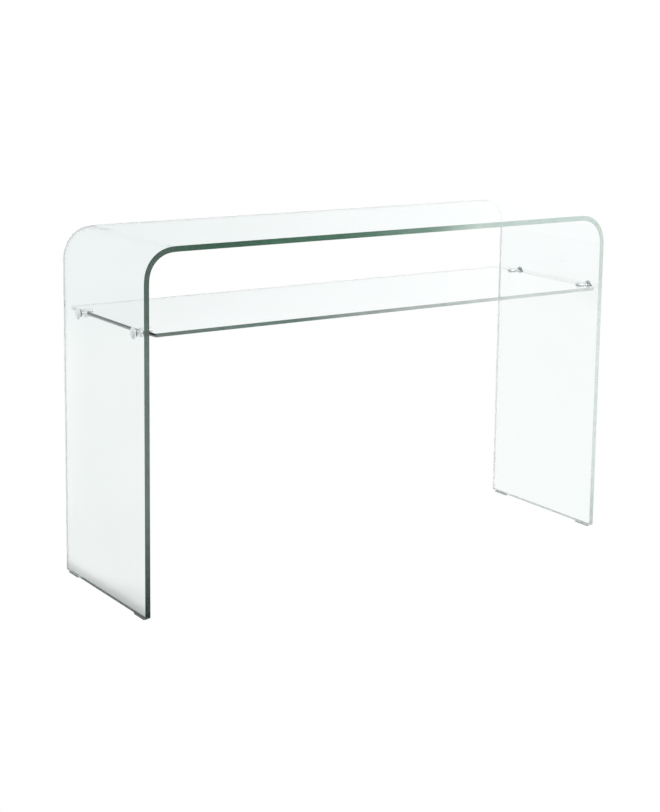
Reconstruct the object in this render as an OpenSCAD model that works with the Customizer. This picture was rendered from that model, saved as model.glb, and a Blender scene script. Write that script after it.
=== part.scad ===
// Console table bent from one sheet of glass, with a glass shelf held between its legs by four
// bolted clamps. Units are millimetres: X runs along the table, -Y is its front and Z is up.
// The origin is on the floor under the middle of the table.

/* [Bent glass table] */
// Length over the outer faces of the two legs
table_length = 1250; // [900:10:1600]
// Depth from the front edge to the back edge
table_depth = 380; // [320:5:500]
// Height of the top surface above the floor
table_height = 785; // [710:5:900]
// Thickness of the bent sheet
glass_thickness = 12; // [10:1:15]
// Outer radius of the two bends
bend_radius = 68; // [40:1:80]
// Radius of the corners at the bottom of each leg
leg_corner_radius = 5; // [2:1:8]

/* [Shelf] */
// Height of the shelf's upper surface above the floor
shelf_height = 608; // [400:2:612]
// Thickness of the shelf
shelf_thickness = 8; // [6:1:10]
// Gap between each end of the shelf and the leg beside it
shelf_gap = 13; // [12:1:20]
// Radius of the four corners of the shelf
shelf_corner_radius = 3; // [1:1:12]

/* [Bolt through the leg] */
// Distance from the front edge to the axis of the front clamps
front_inset = 45; // [35:1:100]
// Distance from the back edge to the axis of the back clamps
back_inset = 75; // [35:1:100]
// Diameter of the cap on the outer face of the leg
cap_diameter = 26; // [24:1:34]
// Thickness of the cap
cap_thickness = 2.5; // [2.5:0.5:6]
// Diameter of the hole drilled through the leg
hole_diameter = 12; // [10:1:14]
// Diameter of the bolt behind the cap
bolt_diameter = 5; // [5:1:6]
// Thickness of the clear washers between metal and glass
washer_thickness = 1; // [0.5:0.5:2]

/* [Clamp] */
// Diameter of the flange that bears on the inner face of the leg
flange_diameter = 16; // [16:1:24]
// Diameter of the neck between the flange and the head
neck_diameter = 8; // [8:0.5:14]
// Diameter of the slotted head
head_diameter = 20; // [18:1:26]
// Reach of the slotted head over the shelf
grip_length = 15; // [12:1:22]
// Thickness of the clear liner in the slot
liner_thickness = 1; // [0.5:0.5:1.5]
// Diameter of the grub screw in the lower jaw
grub_diameter = 5; // [4:1:5]

/* [Foot pads] */
// Length of each pad along the leg
foot_length = 45; // [30:1:70]
// Width of each pad
foot_width = 11; // [8:0.5:12]
// Height of each pad
foot_height = 4; // [2:0.5:6]
// Distance from the edge of the leg to the end of its pad
foot_inset = 9; // [8:1:30]

/* [Hidden] */
$fn = 96;
corners = ["left_front", "left_back", "right_front", "right_back"];
corner_parts = [
    "cap_bolt", "hole_bush", "inner_washer", "shelf_clamp",
    "clamp_liner", "grub_screw", "foot_pad"
];

glass_colour = [0.80, 0.90, 0.87];
chrome_colour = [0.80, 0.81, 0.83];
clear_colour = [0.90, 0.93, 0.94];
steel_colour = [0.55, 0.56, 0.58];

eps = 1;                                    // how far a cutter runs past the face it cuts
bolt_clearance = 0.1;                       // on the radius, in the bush and washer
bolt_end_gap = 1;                           // left free past the bolt's end
flange_thickness = 2;
clamp_web = 2;                              // metal between the neck and the slot
edge_round = 1.2;                           // rounding of the turned edges
bush_flange_diameter = cap_diameter - 4;
leg_height = table_height - foot_height;
shelf_length = table_length - 2 * (glass_thickness + shelf_gap);
shelf_middle = shelf_height - shelf_thickness / 2;

// Stations along a clamp's axis, counted from the outer face of the leg towards the shelf
flange_start = glass_thickness + washer_thickness;
shelf_end = glass_thickness + shelf_gap;
slot_start = shelf_end - liner_thickness;
head_start = slot_start - clamp_web;
head_end = shelf_end + grip_length;
grub_station = shelf_end + grip_length * 0.6;
grub_recess = 0.5;                          // how far the grub screw stops short of the jaw's outside
slot_width = shelf_thickness + 2 * liner_thickness;

function corner_side(corner) = corner[0] == "l" ? -1 : 1;
function is_front(corner) = corner == "left_front" || corner == "right_front";
function clamp_y(corner) = is_front(corner) ? front_inset - table_depth / 2 : table_depth / 2 - back_inset;

// Outline of a bent sheet's outer or inner face, closed along the floor
module bent_outline(length, height, radius) {
    translate([-length / 2, 0]) square([length, height - radius]);
    translate([radius - length / 2, 0]) square([length - 2 * radius, height]);
    for (side = [-1, 1])
        translate([side * (length / 2 - radius), height - radius]) circle(r = radius);
}

// A rectangle with round corners, centred
module round_rectangle(size, radius) {
    square([size[0] - 2 * radius, size[1]], center = true);
    square([size[0], size[1] - 2 * radius], center = true);
    for (x = [-1, 1], y = [-1, 1])
        translate([x * (size[0] / 2 - radius), y * (size[1] / 2 - radius)]) circle(r = radius);
}

// Half section of a turned disc whose far rim is rounded, from the axis outwards
module rounded_rim(radius, thickness) {
    square([radius, thickness - edge_round]);
    square([radius - edge_round, thickness]);
    translate([radius - edge_round, thickness - edge_round]) circle(r = edge_round);
}

// Puts a clamp part at its corner: its own Z runs inwards from the outer face, its own X is up
module at_clamp(corner) {
    mirror([corner_side(corner) < 0 ? 1 : 0, 0, 0])
        translate([table_length / 2, clamp_y(corner), shelf_middle])
            rotate([0, -90, 0]) children();
}

// Cuts a leg's bottom corner to a radius, on the edge at +Y
module leg_corner_cut() {
    translate([0, table_depth / 2 - leg_corner_radius, leg_corner_radius])
        rotate([0, 90, 0]) difference() {
            translate([0, 0, -table_length])
                cube([leg_corner_radius + eps, leg_corner_radius + eps, 2 * table_length]);
            translate([0, 0, -table_length - eps])
                cylinder(r = leg_corner_radius, h = 2 * (table_length + eps));
        }
}

// The top and both legs, one bent sheet with a hole for each clamp's bolt
module bent_glass_body() {
    color(glass_colour) difference() {
        translate([0, table_depth / 2, foot_height]) rotate([90, 0, 0])
            linear_extrude(table_depth) difference() {
                bent_outline(table_length, leg_height, bend_radius);
                translate([0, -eps]) bent_outline(
                    table_length - 2 * glass_thickness,
                    leg_height - glass_thickness + eps,
                    bend_radius - glass_thickness
                );
            }
        translate([0, 0, foot_height]) {
            leg_corner_cut();
            mirror([0, 1, 0]) leg_corner_cut();
        }
        for (corner = corners)
            at_clamp(corner) translate([0, 0, -eps])
                cylinder(d = hole_diameter, h = glass_thickness + 2 * eps);
    }
}

// The flat shelf, as deep as the table
module glass_shelf() {
    color(glass_colour) translate([0, 0, shelf_height - shelf_thickness])
        linear_extrude(shelf_thickness)
            round_rectangle([shelf_length, table_depth], shelf_corner_radius);
}

// Cap on the outer face of the leg, turned in one piece with its bolt
module cap_bolt(corner) {
    color(chrome_colour) at_clamp(corner) {
        translate([0, 0, -washer_thickness]) mirror([0, 0, 1])
            rotate_extrude() rounded_rim(cap_diameter / 2, cap_thickness);
        translate([0, 0, -washer_thickness])
            cylinder(d = bolt_diameter, h = head_start - bolt_end_gap + washer_thickness);
    }
}

// Clear flanged bush that keeps the bolt and cap off the glass
module hole_bush(corner) {
    color(clear_colour) at_clamp(corner) difference() {
        union() {
            translate([0, 0, -washer_thickness])
                cylinder(d = bush_flange_diameter, h = washer_thickness);
            cylinder(d = hole_diameter, h = glass_thickness);
        }
        translate([0, 0, -washer_thickness - eps]) cylinder(
            r = bolt_diameter / 2 + bolt_clearance,
            h = glass_thickness + washer_thickness + 2 * eps
        );
    }
}

// Clear washer between the clamp's flange and the inner face of the leg
module inner_washer(corner) {
    color(clear_colour) at_clamp(corner) translate([0, 0, glass_thickness]) difference() {
        cylinder(d = flange_diameter, h = washer_thickness);
        translate([0, 0, -eps])
            cylinder(r = bolt_diameter / 2 + bolt_clearance, h = washer_thickness + 2 * eps);
    }
}

// Turned clamp: a flange, a thin neck and a slotted head that takes the end of the shelf
module shelf_clamp(corner) {
    color(chrome_colour) at_clamp(corner) difference() {
        union() {
            translate([0, 0, flange_start])
                rotate_extrude() rounded_rim(flange_diameter / 2, flange_thickness);
            translate([0, 0, flange_start])
                cylinder(d = neck_diameter, h = head_start - flange_start + edge_round);
            translate([0, 0, head_start]) rotate_extrude() intersection() {
                rounded_rim(head_diameter / 2, head_end - head_start);
                translate([0, head_end - head_start]) mirror([0, 1])
                    rounded_rim(head_diameter / 2, head_end - head_start);
            }
        }
        translate([0, 0, flange_start - eps])
            cylinder(d = bolt_diameter, h = head_start - flange_start + eps);
        translate([-slot_width / 2, -head_diameter / 2 - eps, slot_start])
            cube([slot_width, head_diameter + 2 * eps, head_end - slot_start + eps]);
        translate([0, 0, grub_station]) rotate([0, -90, 0])
            cylinder(d = grub_diameter, h = head_diameter / 2 + eps);
    }
}

// Clear U-shaped liner between the jaws and the shelf
module clamp_liner(corner) {
    liner_end = head_end - edge_round;
    color(clear_colour) at_clamp(corner) difference() {
        intersection() {
            translate([-slot_width / 2, -head_diameter / 2, slot_start])
                cube([slot_width, head_diameter, liner_end - slot_start]);
            translate([0, 0, slot_start - eps])
                cylinder(d = head_diameter - edge_round, h = liner_end - slot_start + 2 * eps);
        }
        translate([-shelf_thickness / 2, -head_diameter, shelf_end])
            cube([shelf_thickness, 2 * head_diameter, liner_end - shelf_end + eps]);
    }
}

// Socket grub screw that closes the lower jaw on the shelf
module grub_screw(corner) {
    grub_length = (head_diameter - slot_width) / 2 - grub_recess;
    socket_width = grub_diameter / 2;
    color(steel_colour) at_clamp(corner)
        translate([-slot_width / 2, 0, grub_station]) rotate([0, -90, 0]) difference() {
            cylinder(d = grub_diameter, h = grub_length);
            translate([0, 0, grub_length / 2])
                cylinder(d = socket_width / cos(30), h = grub_length, $fn = 6);
        }
}

// Clear pad stuck under the end of a leg
module foot_pad(corner) {
    pad_y = table_depth / 2 - foot_inset - foot_length / 2;
    color(clear_colour)
        translate([
            corner_side(corner) * (table_length - glass_thickness) / 2,
            is_front(corner) ? -pad_y : pad_y,
            0
        ])
            linear_extrude(foot_height) round_rectangle([foot_width, foot_length], foot_width / 5);
}

bent_glass_body();
glass_shelf();
for (corner = corners) {
    cap_bolt(corner);
    hole_bush(corner);
    inner_washer(corner);
    shelf_clamp(corner);
    clamp_liner(corner);
    grub_screw(corner);
    foot_pad(corner);
}
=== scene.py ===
import math

import bmesh
import bpy
from mathutils import Matrix, Vector


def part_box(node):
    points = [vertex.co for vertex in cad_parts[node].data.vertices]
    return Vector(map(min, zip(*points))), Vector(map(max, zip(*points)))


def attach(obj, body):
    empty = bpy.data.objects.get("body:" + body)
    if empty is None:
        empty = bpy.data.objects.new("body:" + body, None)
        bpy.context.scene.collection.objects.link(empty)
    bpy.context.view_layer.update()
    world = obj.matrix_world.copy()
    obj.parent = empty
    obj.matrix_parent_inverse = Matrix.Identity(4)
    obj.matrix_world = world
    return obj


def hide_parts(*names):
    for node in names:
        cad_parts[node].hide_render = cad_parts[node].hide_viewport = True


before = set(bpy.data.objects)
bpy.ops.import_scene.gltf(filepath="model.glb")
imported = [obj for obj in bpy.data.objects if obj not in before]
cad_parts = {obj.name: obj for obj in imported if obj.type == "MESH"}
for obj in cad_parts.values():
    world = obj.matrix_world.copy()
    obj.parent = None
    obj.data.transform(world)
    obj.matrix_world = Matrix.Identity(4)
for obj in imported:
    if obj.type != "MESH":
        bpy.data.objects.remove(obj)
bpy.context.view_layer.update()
scene = bpy.context.scene
corners = ["left_front", "left_back", "right_front", "right_back"]
print("frame loaded,", len(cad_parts), "nodes")


# small helpers for node trees and meshes
def setInputs(tree, made, values):
    for socket, value in values.items():
        if isinstance(value, bpy.types.NodeSocket):
            tree.links.new(value, made.inputs[socket])
        else:
            made.inputs[socket].default_value = value


def addNode(tree, kind, values=None, **settings):
    made = tree.nodes.new(kind)
    for name, value in settings.items():
        setattr(made, name, value)
    setInputs(tree, made, values or {})
    return made


def calc(tree, operation, first, second=0.0):
    made = addNode(tree, "ShaderNodeMath", {0: first, 1: second}, operation=operation)
    return made.outputs[0]


def product(tree, whole, *factors):
    for factor in factors:
        whole = calc(tree, "MULTIPLY", whole, factor)
    return whole


def asColour(levels):
    return (*levels, 1.0)


def ramp(tree, value, stops, smooth=True):
    made = addNode(tree, "ShaderNodeValToRGB", {0: value})
    bar = made.color_ramp
    bar.interpolation = "EASE" if smooth else "LINEAR"
    while len(bar.elements) < len(stops):
        bar.elements.new(0.5)
    for element, (stop, colour) in zip(bar.elements, stops):
        element.position = stop
        element.color = asColour(colour)
    return made.outputs[0]


def fromTo(tree, value, low, high, toLow=0.0, toHigh=1.0, smooth=True):
    made = addNode(tree, "ShaderNodeMapRange",
                   {0: value, 1: low, 2: high, 3: toLow, 4: toHigh},
                   interpolation_type="SMOOTHSTEP" if smooth else "LINEAR")
    return made.outputs[0]


def mixColour(tree, share, first, second, blend="MIX"):
    made = addNode(tree, "ShaderNodeMix", {0: share, 6: first, 7: second},
                   data_type="RGBA", blend_type=blend)
    return made.outputs[2]


def mixValue(tree, share, first, second):
    made = addNode(tree, "ShaderNodeMix", {0: share, 2: first, 3: second}, data_type="FLOAT")
    return made.outputs[0]


def noise(tree, point, scale, detail=2.0, rough=0.5):
    made = addNode(tree, "ShaderNodeTexNoise",
                   {"Vector": point, "Scale": scale, "Detail": detail, "Roughness": rough})
    return made.outputs["Fac"]


def bump(tree, height, strength, distance):
    made = addNode(tree, "ShaderNodeBump",
                   {"Height": height, "Strength": strength, "Distance": distance})
    return made.outputs["Normal"]


def newMaterial(name):
    made = bpy.data.materials.new(name)
    made.use_nodes = True
    made.node_tree.nodes.clear()
    tree = made.node_tree
    shader = addNode(tree, "ShaderNodeBsdfPrincipled")
    addNode(tree, "ShaderNodeOutputMaterial", {"Surface": shader.outputs[0]})
    point = addNode(tree, "ShaderNodeTexCoord").outputs["Object"]
    return made, tree, shader, point


def srgb(*levels):
    # screen levels from 0 to 255, turned into the linear values that a shader takes
    return tuple(((v + 0.055) / 1.055) ** 2.4 if v > 0.04045 else v / 12.92
                 for v in (level / 255 for level in levels))


# finishes
clearGlass = {
    "ior": 1.52,
    "absorbs": (0.50, 0.80, 0.76),      # what the iron in the glass lets through
    "density": 3.0,
    "film": [(0.35, (1.0, 1.0, 1.0)), (0.75, (0.985, 0.992, 0.990))],
    "smudges": (9.0, 4.0, 0.6),         # scale, detail and roughness of the noise
    "haze": (0.45, 0.8, 0.0, 0.035),    # the film roughens the glass where it is thick
    "waves": (5.5, 1.0),
    "bump": (0.15, 0.001),              # strength and depth
    "faceGloss": 0.30,
    "edgeGloss": 0.25,
    "edgeRoughness": 0.22,
    "edgeClearness": 0.30,
    "endClearness": 0.10,
    "grain": (60.0, 3.0),
    "grainShades": [(0.3, (0.82, 0.84, 0.83)), (0.7, (1.0, 1.0, 1.0))],
    "grainShare": 0.5,
    "legBlend": (0.09, 0.01),           # from an end inwards, where a leg's own shades take over
    "endBlend": (0.003, 0.001),
    "backBlend": (0.075, 0.060),        # from the back inwards
    "backClearness": (0.50, 0.55),      # the back edges, left and right, stand against the light
    "backRoughness": 0.07,
    # painted shade and light on the back edges: greyer on the left, white on the right
    "backLeft": (0.84, 0.89, 0.88),
    "backRight": (1.0, 1.0, 1.0),
    "backShare": 0.95,
}


def paintedEdgeShading(tree, point, shades):
    # the ground edges are painted with the light and shade the room would put on them, dark on the left
    # and pale on the right
    glass = clearGlass
    x, y, z = addNode(tree, "ShaderNodeSeparateXYZ", {0: point}).outputs
    reach = glassHigh.x
    height = fromTo(tree, z, glassLow.z, glassHigh.z, smooth=False)
    along = fromTo(tree, x, -reach, reach, smooth=False)
    shadedColour = ramp(tree, along, shades["along"])
    onEnd, onFarEnd = 0.0, 0.0          # only the shelf has ends
    if "leftLeg" in shades:
        outer, inner = glass["legBlend"]
        onLeft = fromTo(tree, x, outer - reach, inner - reach)
        onRight = fromTo(tree, x, reach - outer, reach - inner)
        shadedColour = mixColour(tree, onLeft, shadedColour, ramp(tree, height, shades["leftLeg"]))
        shadedColour = mixColour(tree, onRight, shadedColour, ramp(tree, height, shades["rightLeg"]))
    if "leftEnd" in shades:
        # the upper half of the left end is painted dark, a painted reflection of the leg beside it
        outer, inner = glass["endBlend"]
        onEnd = fromTo(tree, x, outer - shelfHigh.x, inner - shelfHigh.x)
        upper = fromTo(tree, z, shelfLow.z, shelfHigh.z, smooth=False)
        shadedColour = mixColour(tree, onEnd, shadedColour, ramp(tree, upper, shades["leftEnd"]))
        onFarEnd = fromTo(tree, x, shelfHigh.x - outer, shelfHigh.x - inner)
    back = mixColour(tree, along, asColour(glass["backLeft"]), asColour(glass["backRight"]))
    back = mixColour(tree, onEnd, back, (1.0, 1.0, 1.0, 1.0))
    outer, inner = glass["backBlend"]
    behind = fromTo(tree, y, glassHigh.y - outer, glassHigh.y - inner)
    behind = calc(tree, "MAXIMUM", behind, onFarEnd)
    shadedColour = mixColour(tree, product(tree, behind, glass["backShare"]), shadedColour, back)
    backClearness = mixValue(tree, along, *glass["backClearness"])
    backClearness = mixValue(tree, onEnd, backClearness, 0.0)
    clearness = mixValue(tree, onEnd, glass["edgeClearness"], glass["endClearness"])
    return shadedColour, mixValue(tree, behind, clearness, backClearness), behind


def glassMaterial(name, shades):
    glass = clearGlass
    made, tree, shader, point = newMaterial(name)
    onEdge = addNode(tree, "ShaderNodeAttribute", attribute_name="polishedEdge").outputs["Fac"]
    grain = ramp(tree, noise(tree, point, *glass["grain"]), glass["grainShades"])
    shadedColour, clearness, behind = paintedEdgeShading(tree, point, shades)
    edgeRoughness = mixValue(tree, behind, glass["edgeRoughness"], glass["backRoughness"])
    shadedColour = mixColour(tree, glass["grainShare"], shadedColour, grain, "MULTIPLY")
    smudges = noise(tree, point, *glass["smudges"])
    film = ramp(tree, smudges, glass["film"])
    haze = fromTo(tree, smudges, *glass["haze"])
    waves = noise(tree, point, *glass["waves"])
    setInputs(tree, shader, {
        "Base Color": mixColour(tree, onEdge, film, shadedColour),
        "Roughness": mixValue(tree, onEdge, haze, edgeRoughness),
        "IOR": glass["ior"],
        "Transmission Weight": mixValue(tree, onEdge, 1.0, clearness),
        "Specular IOR Level": mixValue(tree, onEdge, glass["faceGloss"], glass["edgeGloss"]),
        "Normal": bump(tree, waves, *glass["bump"]),
    })
    absorb = addNode(tree, "ShaderNodeVolumeAbsorption",
                     {"Color": asColour(glass["absorbs"]), "Density": glass["density"]})
    tree.links.new(absorb.outputs[0], tree.get_output_node("ALL").inputs["Volume"])
    return made


# each of these has a fine speckle that carries its colour, roughness and bump
polishedChrome = {
    "speckle": (260.0, 4.0, 0.65),      # scale, detail and roughness of the noise
    "colours": [(0.3, (0.86, 0.87, 0.88)), (0.75, (0.77, 0.78, 0.80))],
    "roughness": (0.35, 0.75, 0.12, 0.26),
    "rings": 900.0,                     # turning marks left under the plating
    "bump": (0.10, 0.00003),
    "shader": {"Metallic": 1.0},
}
clearNylon = {
    "speckle": (180.0, 3.0, 0.5),
    "colours": [(0.3, (0.96, 0.98, 0.98)), (0.8, (0.90, 0.93, 0.93))],
    "roughness": (0.3, 0.8, 0.15, 0.30),
    "bump": (0.15, 0.0001),
    "shader": {"IOR": 1.53, "Transmission Weight": 0.25},
}
screwSteel = {
    "speckle": (700.0, 4.0, 0.7),
    "colours": [(0.3, (0.42, 0.43, 0.45)), (0.75, (0.60, 0.61, 0.63))],
    "roughness": (0.3, 0.8, 0.25, 0.5),
    "bump": (0.2, 0.00005),
    "shader": {"Metallic": 1.0},
}
footPlastic = {
    "speckle": (220.0, 4.0, 0.6),
    "colours": [(0.3, (0.13, 0.16, 0.15)), (0.8, (0.27, 0.31, 0.30))],
    "rightLitColours": [(0.3, (0.46, 0.50, 0.49)), (0.8, (0.62, 0.66, 0.65))],
    "rightFrom": (-0.3, 0.3),           # the right pads are painted paler, as painted light falling brighter on the right
    "roughness": (0.3, 0.8, 0.35, 0.6),
    "bump": (0.2, 0.0002),
    "shader": {"IOR": 1.49, "Transmission Weight": 0.35},
}


def speckledMaterial(name, finish):
    made, tree, shader, point = newMaterial(name)
    speckle = noise(tree, point, *finish["speckle"])
    colour = ramp(tree, speckle, finish["colours"])
    if "rightLitColours" in finish:
        x = addNode(tree, "ShaderNodeSeparateXYZ", {0: point}).outputs[0]
        toRight = fromTo(tree, x, *finish["rightFrom"])
        colour = mixColour(tree, toRight, colour, ramp(tree, speckle, finish["rightLitColours"]))
    relief = speckle
    if "rings" in finish:
        turned = addNode(tree, "ShaderNodeAttribute", attribute_name="lathe").outputs["Vector"]
        relief = addNode(tree, "ShaderNodeTexWave",
                         {"Vector": turned, "Scale": finish["rings"], "Distortion": 1.5, "Detail": 2.0},
                         bands_direction="DIAGONAL").outputs["Fac"]
    setInputs(tree, shader, {
        "Base Color": colour,
        "Roughness": fromTo(tree, speckle, *finish["roughness"]),
        "Normal": bump(tree, relief, *finish["bump"]),
        **finish["shader"],
    })
    return made


glassLow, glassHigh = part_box("bent_glass_body")
shelfLow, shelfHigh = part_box("glass_shelf")

# painted light and shade along each polished edge, from left to right, and up each leg from the floor
bodyMaterial = glassMaterial("bentGlass", {
    "along": [(0.0, srgb(64, 84, 73)), (0.12, srgb(44, 80, 61)), (0.38, srgb(64, 103, 80)),
              (0.56, srgb(114, 141, 126)), (0.70, srgb(208, 219, 212)), (1.0, srgb(222, 230, 225))],
    "leftLeg": [(0.0, srgb(158, 166, 164)), (0.0045, srgb(44, 56, 52)), (0.12, srgb(64, 77, 72)),
                (0.34, srgb(102, 112, 107)), (0.70, srgb(97, 111, 103)), (0.95, srgb(74, 88, 80))],
    "rightLeg": [(0.0, srgb(244, 248, 246)), (0.0045, srgb(220, 225, 223)), (0.25, srgb(238, 242, 240)),
                 (0.6, srgb(243, 245, 243)), (0.95, srgb(222, 228, 220))],
})
shelfMaterial = glassMaterial("shelfGlass", {
    "along": [(0.0, srgb(108, 116, 110)), (0.28, srgb(101, 118, 110)), (0.44, srgb(160, 165, 162)),
              (0.58, srgb(194, 196, 195)), (0.8, srgb(226, 230, 227)), (1.0, srgb(234, 238, 236))],
    "leftEnd": [(0.0, srgb(190, 200, 198)), (0.36, srgb(150, 160, 158)), (0.48, srgb(10, 14, 13)),
                (1.0, srgb(10, 14, 13))],
})
chrome = speckledMaterial("polishedChrome", polishedChrome)
nylon = speckledMaterial("clearNylon", clearNylon)
steel = speckledMaterial("screwSteel", screwSteel)
padPlastic = speckledMaterial("footPlastic", footPlastic)
print("finishes made")


# mesh helpers
weld = 0.00001              # points closer than this are one


def newTree(name, sockets):
    tree = bpy.data.node_groups.new(name, "GeometryNodeTree")
    tree.interface.new_socket("Geometry", in_out="INPUT", socket_type="NodeSocketGeometry")
    for label, kind in sockets:
        tree.interface.new_socket(label, in_out="INPUT", socket_type="NodeSocket" + kind)
    tree.interface.new_socket("Geometry", in_out="OUTPUT", socket_type="NodeSocketGeometry")
    return tree, tree.nodes.new("NodeGroupInput").outputs


def endTree(tree, geometry, material):
    whole = addNode(tree, "GeometryNodeRealizeInstances", {0: geometry})
    painted = addNode(tree, "GeometryNodeSetMaterial",
                      {"Geometry": whole.outputs[0], "Material": material})
    addNode(tree, "NodeGroupOutput", {0: painted.outputs[0]})


def seedObject(name, points, edges=(), flags=()):
    mesh = bpy.data.meshes.new(name)
    mesh.from_pydata([tuple(p) for p in points], list(edges), [])
    for label, values in flags:
        mesh.attributes.new(label, "FLOAT", "POINT").data.foreach_set("value", values)
    made = bpy.data.objects.new(name, mesh)
    scene.collection.objects.link(made)
    return made


def runTree(seed, tree, values):
    modifier = seed.modifiers.new("build", "NODES")
    modifier.node_group = tree
    for item in tree.interface.items_tree:
        if item.in_out == "INPUT" and item.name in values:
            modifier[item.identifier] = values[item.name]


def asPlainMesh(seed, smoothAngle=35):
    graph = bpy.context.evaluated_depsgraph_get()
    mesh = bpy.data.meshes.new_from_object(seed.evaluated_get(graph), depsgraph=graph)
    seed.modifiers.clear()
    seed.data = mesh
    mesh.name = seed.name
    mesh.shade_smooth()
    mesh.set_sharp_from_angle(angle=math.radians(smoothAngle))
    return seed


def addBevel(piece, width, segments=1, weighted=False, angle=35):
    modifier = piece.modifiers.new("arris", "BEVEL")
    modifier.width = width
    modifier.segments = segments
    modifier.limit_method = "WEIGHT" if weighted else "ANGLE"
    modifier.angle_limit = math.radians(angle)


def markEdges(piece, isEdge):
    # polished edges get 1, the broad faces 0
    mesh = piece.data
    values = [1.0 if isEdge(face) else 0.0 for face in mesh.polygons]
    mesh.attributes.new("polishedEdge", "FLOAT", "FACE").data.foreach_set("value", values)


def standsFor(piece, slotName, *nodes):
    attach(piece, "root")
    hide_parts(*nodes)


# the bent sheet
bentSheet = {
    "thickness": 0.012,
    "bendRadius": 0.068,        # of the outer face
    "bendFacets": 90,
    "step": 0.0025,             # length of each facet along the sheet
    "arris": 0.0006,            # ground flat along every polished edge
    "cornerRadius": 0.005,
    "cornerFacets": 6,
    "holeDiameter": 0.012,
    "holeSides": 48,
    "easing": 26,               # rounds of smoothing where flat turns to bend
    "easeAbove": 0.5,           # height under which the legs stay straight
}


def bentSheetTree(sheet):
    tree, inputs = newTree("bentSheetTree", [
        ("Depth", "Float"), ("Thickness", "Float"), ("Bend Radius", "Float"), ("Step", "Float"),
        ("Hole Radius", "Float"), ("Easing", "Int"), ("Material", "Material")])
    isHole = addNode(tree, "GeometryNodeInputNamedAttribute", {"Name": "isHole"},
                     data_type="FLOAT").outputs[0]
    parted = addNode(tree, "GeometryNodeSeparateGeometry",
                     {0: inputs["Geometry"], 1: isHole}, domain="POINT")
    line = addNode(tree, "GeometryNodeMeshToCurve", {0: parted.outputs[1]})
    middle = calc(tree, "SUBTRACT", inputs["Bend Radius"],
                  calc(tree, "MULTIPLY", inputs["Thickness"], 0.5))
    bent = addNode(tree, "GeometryNodeFilletCurve",
                   {"Curve": line.outputs[0], "Radius": middle, "Count": sheet["bendFacets"]},
                   mode="POLY")
    evenly = addNode(tree, "GeometryNodeResampleCurve",
                     {"Curve": bent.outputs[0], "Length": inputs["Step"]}, mode="LENGTH")
    # the bends ease into the flats, as slumped glass does
    here = addNode(tree, "GeometryNodeInputPosition").outputs[0]
    height = addNode(tree, "ShaderNodeSeparateXYZ", {0: here}).outputs[2]
    eased = addNode(tree, "GeometryNodeBlurAttribute",
                    {"Value": here, "Iterations": inputs["Easing"],
                     "Weight": calc(tree, "GREATER_THAN", height, sheet["easeAbove"])},
                    data_type="FLOAT_VECTOR")
    path = addNode(tree, "GeometryNodeSetPosition",
                   {"Geometry": evenly.outputs[0], "Position": eased.outputs[0]})
    section = addNode(tree, "GeometryNodeCurvePrimitiveQuadrilateral",
                      {"Width": inputs["Thickness"], "Height": inputs["Depth"]})
    swept = addNode(tree, "GeometryNodeCurveToMesh",
                    {"Curve": path.outputs[0], "Profile Curve": section.outputs[0], "Fill Caps": True})
    # drills three times as long as the glass is thick
    drill = addNode(tree, "GeometryNodeMeshCylinder",
                    {"Vertices": sheet["holeSides"], "Radius": inputs["Hole Radius"],
                     "Depth": calc(tree, "MULTIPLY", inputs["Thickness"], 3.0)})
    drills = addNode(tree, "GeometryNodeInstanceOnPoints",
                     {"Points": parted.outputs[0], "Instance": drill.outputs[0],
                      "Rotation": (0.0, math.pi / 2, 0.0)})
    cutters = addNode(tree, "GeometryNodeRealizeInstances", {0: drills.outputs[0]})
    drilled = addNode(tree, "GeometryNodeMeshBoolean",
                      {"Mesh 1": swept.outputs[0], "Mesh 2": cutters.outputs[0]}, operation="DIFFERENCE")
    endTree(tree, drilled.outputs[0], inputs["Material"])
    return tree


def buildBentSheet():
    sheet = bentSheet
    half = sheet["thickness"] / 2
    left, right = glassLow.x + half, glassHigh.x - half
    foot, top = glassLow.z, glassHigh.z - half
    line = [(left, 0, foot), (left, 0, top), (right, 0, top), (right, 0, foot)]
    holes = []
    for corner in corners:
        low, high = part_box(corner + "_hole_bush")
        side = left if corner.startswith("left") else right
        holes.append((side, (low.y + high.y) / 2, (low.z + high.z) / 2))
    made = seedObject("bentGlassTable", line + holes, [(0, 1), (1, 2), (2, 3)],
                      [("isHole", [0.0] * len(line) + [1.0] * len(holes))])
    runTree(made, bentSheetTree(sheet), {
        "Depth": glassHigh.y - glassLow.y, "Thickness": sheet["thickness"],
        "Bend Radius": sheet["bendRadius"], "Step": sheet["step"],
        "Hole Radius": sheet["holeDiameter"] / 2, "Easing": sheet["easing"], "Material": bodyMaterial})
    asPlainMesh(made)
    roundLegCorners(made, sheet)
    addBevel(made, sheet["arris"])
    asPlainMesh(made, smoothAngle=20)
    rim = sheet["arris"] * 1.2          # a little more than the ground flat
    markEdges(made, lambda face: abs(face.center.y) > glassHigh.y - rim
              or face.center.z < glassLow.z + sheet["step"] or abs(face.normal.y) > 0.5)
    standsFor(made, "bent_glass", "bent_glass_body")


def roundLegCorners(piece, sheet):
    # the short edges under the legs, at the front and back, are the ones rounded
    mesh = piece.data
    weights = mesh.attributes.new("bevel_weight_edge", "FLOAT", "EDGE")
    near = 0.0002
    for edge in mesh.edges:
        a, b = (mesh.vertices[i].co for i in edge.vertices)
        middle = (a + b) / 2
        low = middle.z < glassLow.z + near and abs(a.y - b.y) < near
        weights.data[edge.index].value = 1.0 if low and abs(middle.y) > glassHigh.y - near else 0.0
    addBevel(piece, sheet["cornerRadius"], sheet["cornerFacets"], weighted=True)
    asPlainMesh(piece)
    mesh = piece.data
    if "bevel_weight_edge" in mesh.attributes:
        mesh.attributes.remove(mesh.attributes["bevel_weight_edge"])


buildBentSheet()
print("bent sheet built")


# the shelf
flatShelf = {
    "cornerRadius": 0.003,
    "arris": 0.0007,
    "cornerFacets": 6,
}


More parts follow.
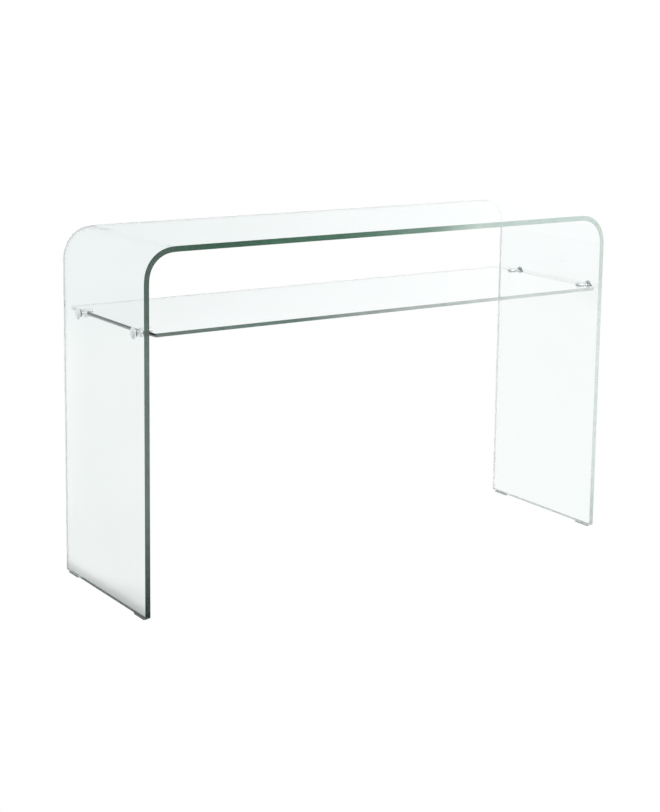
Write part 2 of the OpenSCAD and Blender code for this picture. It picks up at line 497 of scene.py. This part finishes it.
def plateTree(name):
    tree, inputs = newTree(name, [
        ("Length", "Float"), ("Depth", "Float"), ("Thickness", "Float"), ("Corner Radius", "Float"),
        ("Corner Facets", "Int"), ("Material", "Material")])
    outline = addNode(tree, "GeometryNodeCurvePrimitiveQuadrilateral",
                      {"Width": inputs["Length"], "Height": inputs["Depth"]})
    rounded = addNode(tree, "GeometryNodeFilletCurve",
                      {"Curve": outline.outputs[0], "Radius": inputs["Corner Radius"],
                       "Count": inputs["Corner Facets"]}, mode="POLY")
    face = addNode(tree, "GeometryNodeFillCurve", {0: rounded.outputs[0]}, mode="NGONS")
    lift = addNode(tree, "ShaderNodeCombineXYZ", {2: calc(tree, "MULTIPLY", inputs["Thickness"], 0.5)})
    centred = addNode(tree, "GeometryNodeTransform",
                      {"Geometry": face.outputs[0], "Translation": lift.outputs[0]})
    downwards = calc(tree, "MULTIPLY", inputs["Thickness"], -1.0)
    raised = addNode(tree, "GeometryNodeExtrudeMesh",
                     {"Mesh": centred.outputs[0], "Offset Scale": downwards, "Individual": False})
    turned = addNode(tree, "GeometryNodeFlipFaces", {0: centred.outputs[0]})
    whole = addNode(tree, "GeometryNodeJoinGeometry")
    tree.links.new(raised.outputs[0], whole.inputs[0])
    tree.links.new(turned.outputs[0], whole.inputs[0])
    welded = addNode(tree, "GeometryNodeMergeByDistance",
                     {"Geometry": whole.outputs[0], "Distance": weld})
    onPoints = addNode(tree, "GeometryNodeInstanceOnPoints",
                       {"Points": inputs["Geometry"], "Instance": welded.outputs[0]})
    endTree(tree, onPoints.outputs[0], inputs["Material"])
    return tree


def fixNormals(piece):
    work = bmesh.new()
    work.from_mesh(piece.data)
    bmesh.ops.remove_doubles(work, verts=work.verts, dist=weld)
    bmesh.ops.recalc_face_normals(work, faces=work.faces)
    work.to_mesh(piece.data)
    work.free()


def buildShelf():
    shelf = flatShelf
    size = shelfHigh - shelfLow
    made = seedObject("glassShelf", [(shelfLow + shelfHigh) / 2])
    runTree(made, plateTree("flatShelfTree"), {
        "Length": size.x, "Depth": size.y, "Thickness": size.z,
        "Corner Radius": shelf["cornerRadius"], "Corner Facets": shelf["cornerFacets"],
        "Material": shelfMaterial})
    asPlainMesh(made)
    fixNormals(made)
    addBevel(made, shelf["arris"])
    asPlainMesh(made, smoothAngle=25)
    markEdges(made, lambda face: abs(face.normal.z) < 0.9)
    standsFor(made, "shelf_glass", "glass_shelf")


buildShelf()
print("shelf built")


# bolts and clamps
# stations run from the outer face of a leg towards the shelf, each with the radius turned there
# the clear parts stand 0.05 mm off the glass, since surfaces that meet render black
capBolt = {
    "profile": [(-0.0035, 0.0), (-0.00346, 0.0060), (-0.0033, 0.0098), (-0.0030, 0.0116),
                (-0.0026, 0.0125), (-0.0021, 0.0130), (-0.0013, 0.0130), (-0.0011, 0.0128),
                (-0.0010, 0.0125), (-0.0010, 0.0028), (-0.0008, 0.0025), (0.0204, 0.0025),
                (0.0209, 0.0020), (0.0209, 0.0)],
    "sides": 72,
}
holeBush = {
    "profile": [(-0.00095, 0.0026), (-0.00095, 0.0108), (-0.00085, 0.0110), (-0.00015, 0.0110),
                (-0.00005, 0.0108), (-0.00005, 0.0059), (0.0117, 0.0059), (0.0119, 0.0057),
                (0.0119, 0.0026), (-0.00095, 0.0026)],
    "sides": 48,
}
innerWasher = {
    "profile": [(0.01205, 0.0026), (0.01205, 0.0078), (0.01215, 0.0080), (0.01285, 0.0080),
                (0.01295, 0.0078), (0.01295, 0.0026), (0.01205, 0.0026)],
    "sides": 48,
}
shelfClamp = {
    "profile": [(0.0218, 0.0), (0.0218, 0.0025), (0.0130, 0.0025), (0.0130, 0.0077), (0.0132, 0.0079),
                (0.0136, 0.0080), (0.0142, 0.0079), (0.0146, 0.0075), (0.0149, 0.0068), (0.0150, 0.0052),
                (0.0152, 0.0045), (0.0158, 0.0040), (0.0210, 0.0040), (0.0216, 0.0043), (0.0220, 0.0052),
                (0.0220, 0.0086), (0.0222, 0.0094), (0.0226, 0.0098), (0.0232, 0.0100), (0.0388, 0.0100),
                (0.0394, 0.0098), (0.0398, 0.0094), (0.0400, 0.0087), (0.0400, 0.0)],
    "sides": 72,
    "slotWidth": 0.010,
    "slotStart": 0.024,
    "screwPlace": 0.034,
    "screwHole": 0.005,
    "screwSides": 40,
    "arris": 0.0002,
}


def turnedTree(name, part):
    # a grid rolled up round the X axis: one row of points per station, one column per side
    tree, inputs = newTree(name, [("Rows", "Int"), ("Sides", "Int"), ("Material", "Material")])
    columns = calc(tree, "ADD", inputs["Sides"], 1.0)
    grid = addNode(tree, "GeometryNodeMeshGrid", {"Vertices X": inputs["Rows"], "Vertices Y": columns})
    index = addNode(tree, "GeometryNodeInputIndex").outputs[0]
    row = calc(tree, "FLOOR", calc(tree, "DIVIDE", calc(tree, "ADD", index, 0.5), columns))
    column = calc(tree, "SUBTRACT", index, calc(tree, "MULTIPLY", row, columns))
    angle = calc(tree, "MULTIPLY", column, calc(tree, "DIVIDE", 2 * math.pi, inputs["Sides"]))
    seed = addNode(tree, "GeometryNodeInputPosition").outputs[0]
    station = addNode(tree, "GeometryNodeSampleIndex",
                      {"Geometry": inputs["Geometry"], "Value": seed, "Index": row},
                      data_type="FLOAT_VECTOR")
    x, radius = addNode(tree, "ShaderNodeSeparateXYZ", {0: station.outputs[0]}).outputs[:2]
    rolled = addNode(tree, "ShaderNodeCombineXYZ", {
        0: x, 1: calc(tree, "MULTIPLY", radius, calc(tree, "COSINE", angle)),
        2: calc(tree, "MULTIPLY", radius, calc(tree, "SINE", angle))})
    marked = addNode(tree, "GeometryNodeStoreNamedAttribute",
                     {"Geometry": grid.outputs[0], "Name": "lathe", "Value": station.outputs[0]},
                     data_type="FLOAT_VECTOR", domain="POINT")
    turned = addNode(tree, "GeometryNodeSetPosition",
                     {"Geometry": marked.outputs[0], "Position": rolled.outputs[0]})
    body = addNode(tree, "GeometryNodeMergeByDistance",
                   {"Geometry": turned.outputs[0], "Distance": weld / 5})
    if "slotWidth" in part:
        body = cutSlot(tree, body, part)
    isSpot, turn = (addNode(tree, "GeometryNodeInputNamedAttribute", {"Name": label},
                            data_type="FLOAT").outputs[0] for label in ("isSpot", "turn"))
    parted = addNode(tree, "GeometryNodeSeparateGeometry",
                     {0: inputs["Geometry"], 1: isSpot}, domain="POINT")
    onSpots = addNode(tree, "GeometryNodeInstanceOnPoints", {
        "Points": parted.outputs[0], "Instance": body.outputs[0],
        "Rotation": addNode(tree, "ShaderNodeCombineXYZ", {2: turn}).outputs[0]})
    endTree(tree, onSpots.outputs[0], inputs["Material"])
    return tree


def cutSlot(tree, body, part):
    # the slot for the shelf, cut as deep as its start, and the threaded hole through the lower jaw
    start, width = part["slotStart"], part["slotWidth"]
    slot = addNode(tree, "GeometryNodeMeshCube", {"Size": (start, 2 * start, width)})
    slotHere = addNode(tree, "GeometryNodeTransform",
                       {"Geometry": slot.outputs[0], "Translation": (start * 1.5, 0.0, 0.0)})
    bore = addNode(tree, "GeometryNodeMeshCylinder",
                   {"Vertices": part["screwSides"], "Radius": part["screwHole"] / 2, "Depth": width})
    boreHere = addNode(tree, "GeometryNodeTransform",
                       {"Geometry": bore.outputs[0],
                        "Translation": (part["screwPlace"], 0.0, -width * 0.9)})
    cutters = addNode(tree, "GeometryNodeJoinGeometry")
    tree.links.new(slotHere.outputs[0], cutters.inputs[0])
    tree.links.new(boreHere.outputs[0], cutters.inputs[0])
    return addNode(tree, "GeometryNodeMeshBoolean",
                   {"Mesh 1": body.outputs[0], "Mesh 2": cutters.outputs[0]},
                   operation="DIFFERENCE", solver="EXACT")


def clampSpots():
    # where each clamp's axis meets the outer face of its leg, and the half turn of the right ones
    spots, turns = [], []
    for corner in corners:
        low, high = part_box(corner + "_shelf_clamp")
        isLeft = corner.startswith("left")
        spots.append((glassLow.x if isLeft else glassHigh.x, (low.y + high.y) / 2, (low.z + high.z) / 2))
        turns.append(0.0 if isLeft else math.pi)
    return spots, turns


def buildTurned(name, part, node, material, slotName):
    rows = [(station, radius, 0.0) for station, radius in part["profile"]]
    spots, turns = clampSpots()
    made = seedObject(name, rows + spots, (), [
        ("isSpot", [0.0] * len(rows) + [1.0] * len(spots)),
        ("turn", [0.0] * len(rows) + turns)])
    runTree(made, turnedTree(name + "Tree", part), {
        "Rows": len(rows), "Sides": part["sides"], "Material": material})
    asPlainMesh(made)
    fixNormals(made)
    if "arris" in part:
        addBevel(made, part["arris"], segments=2, angle=50)
        asPlainMesh(made, smoothAngle=40)
    standsFor(made, slotName, *[corner + "_" + node for corner in corners])


buildTurned("capBolts", capBolt, "cap_bolt", chrome, "polished_chrome")
buildTurned("holeBushes", holeBush, "hole_bush", nylon, "clear_nylon")
buildTurned("innerWashers", innerWasher, "inner_washer", nylon, "clear_nylon")
buildTurned("shelfClamps", shelfClamp, "shelf_clamp", chrome, "polished_chrome")
for corner in corners:
    for part, material in (("clamp_liner", nylon), ("grub_screw", steel)):
        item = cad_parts[corner + "_" + part]
        item.data.materials.clear()
        item.data.materials.append(material)
print("clamps built")


# foot pads
footPads = {
    "cornerRadius": 0.0022,
    "cornerFacets": 5,
    "edge": 0.0006,
}


def buildFootPads():
    low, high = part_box("left_front_foot_pad")
    size = high - low
    middles = []
    for corner in corners:
        low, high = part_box(corner + "_foot_pad")
        middles.append((low + high) / 2)
    made = seedObject("footPads", middles)
    runTree(made, plateTree("footPadTree"), {
        "Length": size.x, "Depth": size.y, "Thickness": size.z,
        "Corner Radius": footPads["cornerRadius"], "Corner Facets": footPads["cornerFacets"],
        "Material": padPlastic})
    asPlainMesh(made)
    fixNormals(made)
    addBevel(made, footPads["edge"], segments=3)
    asPlainMesh(made, smoothAngle=60)
    standsFor(made, "foot_plastic", *[corner + "_foot_pad" for corner in corners])


buildFootPads()
print("foot pads built")


# stage, light and camera
# the camera sees plain white all round, and the glass sees a grey studio in its place
stage = {
    "floorDrop": 0.0002,        # keeps the floor clear of the pads
    "floorReach": 60.0,
    "across": (0.82, -0.57),            # the room brightens this way
    "floorSpan": (-0.8, 0.9),
    "wallSpan": (-0.13, 0.10),
    "nearLeft": (0.975, 1.0, 0.995),    # what the glass shows of the floor, near and far
    "nearRight": (0.955, 0.975, 0.972),
    "farLeft": (0.885, 0.92, 0.915),
    "farRight": (0.985, 1.0, 1.0),
    "farFrom": (2.0, 3.6),
    "wallLeft": (0.875, 0.905, 0.905),
    "wallRight": (1.05, 1.05, 1.05),
    "frontLevel": 0.72,                 # the wall in front of the table is dimmer
    "frontFrom": (0.3, -0.8),
}
greyReflectionPatch = {                  # a grey patch painted on the studio floor, left of the left leg and behind it, seen mirrored in its outer face as a painted dark reflection
    "colour": (0.60, 0.63, 0.63),
    "slant": 0.494,
    "edge": (-0.42, -0.58),
    "far": (4.2, 1.8),
    "near": (0.32, 0.75),
    "side": (-0.625, -0.70),
}
legShade = {                    # painted shade on the floor inside the left leg, seen through it where the painted grey reflection patch ends
    "colour": (0.2, 0.22, 0.22),
    "share": 0.16,
    "slant": -0.519,
    "edge": (-0.34, -0.47),
    "outside": (-0.03, -0.01),
    "front": (-0.5, -0.3),
    "back": (0.75, 0.32),
}
footShade = {                   # soft dark close round the left foot
    "share": 0.8,
    "reach": (0.09, 0.16),      # at the back and at the front
    "reachFrom": (0.14, -0.02),
    "fade": 2.2,
    "ends": (0.6, 0.35),
    "mottle": (34.0, 4.0, 0.7),
    "mottleReach": 0.02,
}


def roomColour(tree, x, y, span, left, right):
    acrossX, acrossY = stage["across"]
    along = calc(tree, "ADD", calc(tree, "MULTIPLY", x, acrossX), calc(tree, "MULTIPLY", y, acrossY))
    return mixColour(tree, fromTo(tree, along, *stage[span], smooth=False),
                     asColour(stage[left]), asColour(stage[right]))


def addGreyReflection(tree, room, x, y):
    mirrorPatch = greyReflectionPatch
    slant = calc(tree, "ADD", x, calc(tree, "MULTIPLY", y, mirrorPatch["slant"]))
    share = product(tree, fromTo(tree, slant, *mirrorPatch["edge"]), fromTo(tree, y, *mirrorPatch["far"]),
                    fromTo(tree, y, *mirrorPatch["near"]), fromTo(tree, x, *mirrorPatch["side"]))
    return mixColour(tree, share, room, asColour(mirrorPatch["colour"]))


def addLegShade(tree, room, x, y, offLeg):
    shade = legShade
    slant = calc(tree, "ADD", x, calc(tree, "MULTIPLY", y, shade["slant"]))
    share = product(tree, fromTo(tree, slant, *shade["edge"]), fromTo(tree, offLeg, *shade["outside"]),
                    fromTo(tree, y, *shade["front"]), fromTo(tree, y, *shade["back"]), shade["share"])
    return mixColour(tree, share, room, asColour(shade["colour"]))


def addFootShade(tree, room, point, y, offLeg):
    shade = footShade
    mottle = noise(tree, point, *shade["mottle"])
    offLeg = calc(tree, "ADD", offLeg, calc(tree, "MULTIPLY", mottle, shade["mottleReach"]))
    reach = fromTo(tree, y, *shade["reachFrom"], *shade["reach"], smooth=False)
    nearFoot = fromTo(tree, offLeg, reach, 0.0, smooth=False)
    share = product(tree, fromTo(tree, calc(tree, "ABSOLUTE", y), *shade["ends"]),
                    fromTo(tree, offLeg, *legShade["outside"]),
                    calc(tree, "POWER", nearFoot, shade["fade"]), shade["share"])
    return mixColour(tree, share, room, asColour(legShade["colour"]))


def whiteToCamera(tree, seen, plain):
    path = addNode(tree, "ShaderNodeLightPath").outputs
    return addNode(tree, "ShaderNodeMixShader",
                   {0: path["Is Camera Ray"], 1: seen.outputs[0], 2: plain.outputs[0]}).outputs[0]


def buildFloor():
    reach, under = stage["floorReach"], -stage["floorDrop"]
    floor = bpy.data.objects.new("floor", bpy.data.meshes.new("floor"))
    floor.data.from_pydata([(-reach, -reach, under), (reach, -reach, under),
                            (reach, reach, under), (-reach, reach, under)], [], [(0, 1, 2, 3)])
    scene.collection.objects.link(floor)
    material = bpy.data.materials.new("paleFloor")
    material.use_nodes = True
    tree = material.node_tree
    tree.nodes.clear()
    point = addNode(tree, "ShaderNodeTexCoord").outputs["Object"]
    x, y = addNode(tree, "ShaderNodeSeparateXYZ", {0: point}).outputs[:2]
    offLeg = calc(tree, "ADD", x, glassHigh.x)
    near = roomColour(tree, x, y, "floorSpan", "nearLeft", "nearRight")
    far = roomColour(tree, x, y, "floorSpan", "farLeft", "farRight")
    room = mixColour(tree, fromTo(tree, y, *stage["farFrom"]), near, far)
    room = addGreyReflection(tree, room, x, y)
    room = addLegShade(tree, room, x, y, offLeg)
    room = addFootShade(tree, room, point, y, offLeg)
    studio = addNode(tree, "ShaderNodeEmission", {"Color": room, "Strength": 1.0})
    plain = addNode(tree, "ShaderNodeEmission", {"Color": (1, 1, 1, 1), "Strength": 1.0})
    addNode(tree, "ShaderNodeOutputMaterial", {"Surface": whiteToCamera(tree, studio, plain)})
    floor.data.materials.append(material)


def buildWorld():
    world = bpy.data.worlds.new("softStudio")
    world.use_nodes = True
    scene.world = world
    tree = world.node_tree
    tree.nodes.clear()
    way = addNode(tree, "ShaderNodeTexCoord").outputs["Generated"]
    x, y = addNode(tree, "ShaderNodeSeparateXYZ", {0: way}).outputs[:2]
    room = roomColour(tree, x, y, "wallSpan", "wallLeft", "wallRight")
    level = mixValue(tree, fromTo(tree, y, *stage["frontFrom"]), 1.0, stage["frontLevel"])
    studio = addNode(tree, "ShaderNodeBackground", {"Color": room, "Strength": level})
    plain = addNode(tree, "ShaderNodeBackground", {"Color": (1, 1, 1, 1), "Strength": 1.0})
    addNode(tree, "ShaderNodeOutputWorld", {0: whiteToCamera(tree, studio, plain)})


lights = {
    "keyLight": {"place": (2.6, -2.4, 3.2), "size": 1.6, "power": 40},
    "fillLight": {"place": (-3.0, -1.2, 2.6), "size": 1.8, "power": 25},
}


def softLight(name, lamp):
    data = bpy.data.lights.new(name, "AREA")
    data.shape = "DISK"
    data.size = lamp["size"]
    data.energy = lamp["power"]
    light = bpy.data.objects.new(name, data)
    place = Vector(lamp["place"])
    aim = Vector((0, 0, 0.5)) - place           # at the middle of the table
    light.matrix_world = Matrix.Translation(place) @ aim.to_track_quat("-Z", "Y").to_matrix().to_4x4()
    scene.collection.objects.link(light)


camera = {
    "place": (-2.2001, -3.2187, 1.2691),
    "turn": 0.61054,            # to the right of straight ahead
    "tip": 0.16143,             # downwards
    "roll": 0.016543,
    "lens": 75.45,
    "shiftX": -0.0431,
    "shiftY": -0.1490,
}


def buildCamera():
    data = bpy.data.cameras.new("camera")
    data.sensor_width = 36.0
    data.lens = camera["lens"]
    data.shift_x = camera["shiftX"]
    data.shift_y = camera["shiftY"]
    made = bpy.data.objects.new("camera", data)
    turn, tip, roll = camera["turn"], camera["tip"], camera["roll"]
    ahead = Vector((math.sin(turn) * math.cos(tip), math.cos(turn) * math.cos(tip), -math.sin(tip)))
    right = Vector((math.cos(turn), -math.sin(turn), 0.0))
    up = right.cross(ahead)
    axes = Matrix((math.cos(roll) * right + math.sin(roll) * up,
                   -math.sin(roll) * right + math.cos(roll) * up, -ahead)).transposed()
    made.matrix_world = Matrix.Translation(camera["place"]) @ axes.to_4x4()
    scene.collection.objects.link(made)
    scene.camera = made


buildCamera()
buildFloor()
buildWorld()
for name, lamp in lights.items():
    softLight(name, lamp)
scene.view_settings.view_transform = "Standard"
# light passes through many sheets and edges before it comes out
for kind in ("max", "glossy", "transmission"):
    setattr(scene.cycles, kind + "_bounces", 24)
scene.cycles.diffuse_bounces = 4
print("stage and camera set")
